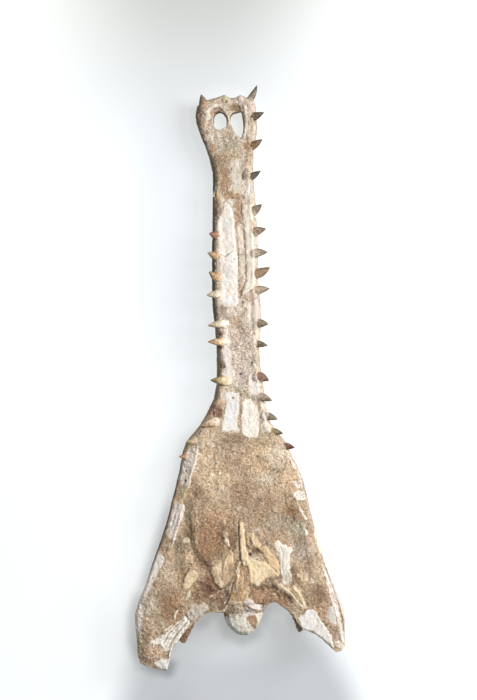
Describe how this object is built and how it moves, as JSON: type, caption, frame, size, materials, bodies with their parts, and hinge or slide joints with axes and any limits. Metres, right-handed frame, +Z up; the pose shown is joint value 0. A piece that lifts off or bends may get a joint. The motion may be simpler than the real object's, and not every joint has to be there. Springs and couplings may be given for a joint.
{
  "type": "fossil crocodile skull",
  "caption": "Long-snouted fossil crocodile skull lying on its roof, palate up, with pointed teeth along the jaw, pale bone plates in sandy matrix and a rounded occipital condyle.",
  "frame": {"origin": "centre of the skull's outline in plan, on the plane that its roof rests on", "axes": "+Y along the skull to the snout tip, +Z up out of the palate, +X to the right as the palate is looked down on with the snout pointing away"},
  "size_m": [0.348, 0.9732, 0.0978],
  "materials": {
    "old_bone": "matte",
    "pale_bone": "matte",
    "gold_bone": "matte",
    "sandy_matrix": "matte",
    "roof_bone": "matte"
  },
  "bodies": {
    "root": {"premaxilla": "old_bone", "maxilla_left": "old_bone", "maxilla_right": "old_bone", "nasal": "roof_bone", "rostrum_matrix": "sandy_matrix", "palatal_plate_front_left": "pale_bone", "palatal_plate_front_right": "pale_bone", "palatal_strip": "pale_bone", "palatal_plate_rear_left": "pale_bone", "palatal_plate_rear_right": "pale_bone", "cranium_matrix": "sandy_matrix", "jugal_left": "pale_bone", "jugal_right": "pale_bone", "quadrate_left": "pale_bone", "quadrate_right": "pale_bone", "exoccipital_left": "pale_bone", "basioccipital": "pale_bone", "basisphenoid": "gold_bone", "choanal_septum": "gold_bone", "pterygoid_left": "gold_bone", "pterygoid_right": "gold_bone", "ectopterygoid_right": "gold_bone", "pterygoid_flange_right": "pale_bone", "bone_chip_left": "gold_bone", "skull_roof": "roof_bone"}
  },
  "joints": []
}
